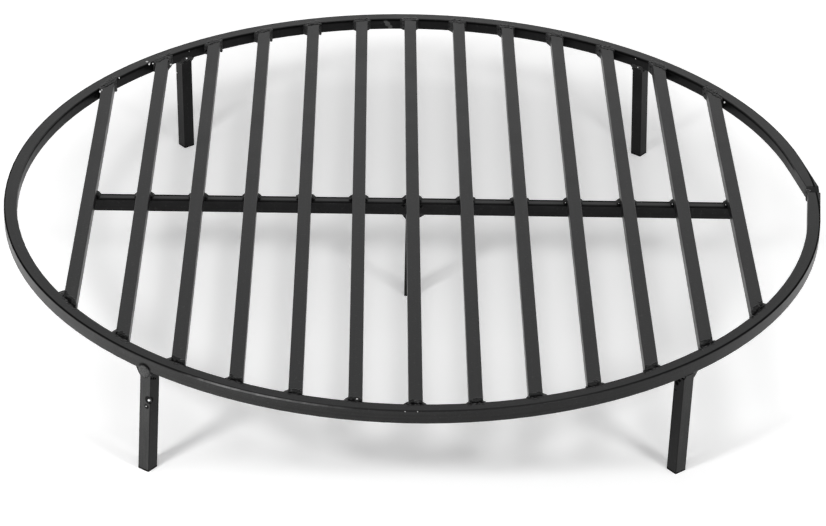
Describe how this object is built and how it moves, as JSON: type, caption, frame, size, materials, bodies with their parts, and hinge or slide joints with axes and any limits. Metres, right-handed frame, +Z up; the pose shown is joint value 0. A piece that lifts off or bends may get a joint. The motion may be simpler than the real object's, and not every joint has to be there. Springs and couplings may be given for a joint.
{
  "type": "log grate",
  "caption": "Round log grate for a fire pit: a ring of square steel bar filled with parallel bars, tied by a cross bar underneath and standing on short legs.",
  "frame": {"origin": "on the floor under the ring's centre, at the foot of the centre leg", "axes": "+Z up, grate bars along Y, the side with the ring's butt joint towards +X"},
  "size_m": [0.7665, 0.7619, 0.113],
  "materials": {
    "bar_paint": "matt heat-proof charcoal paint over rolled steel bar",
    "weld_paint": "the same paint over rough weld metal, slightly glossier"
  },
  "bodies": {
    "root": {"ring": "bar_paint", "ring_joint_weld": "weld_paint", "bar_01": "bar_paint", "bar_02": "bar_paint", "bar_03": "bar_paint", "bar_04": "bar_paint", "bar_05": "bar_paint", "bar_06": "bar_paint", "bar_07": "bar_paint", "bar_08": "bar_paint", "bar_09": "bar_paint", "bar_10": "bar_paint", "bar_11": "bar_paint", "bar_12": "bar_paint", "bar_13": "bar_paint", "cross_bar": "bar_paint", "leg_front_left": "bar_paint", "leg_front_right": "bar_paint", "leg_back_left": "bar_paint", "leg_back_right": "bar_paint", "leg_center": "bar_paint", "front_end_welds": "weld_paint", "back_end_welds": "weld_paint", "cross_bar_welds": "weld_paint", "leg_front_left_welds": "weld_paint", "leg_front_right_welds": "weld_paint", "leg_back_left_welds": "weld_paint", "leg_back_right_welds": "weld_paint", "leg_center_welds": "weld_paint"}
  },
  "joints": []
}
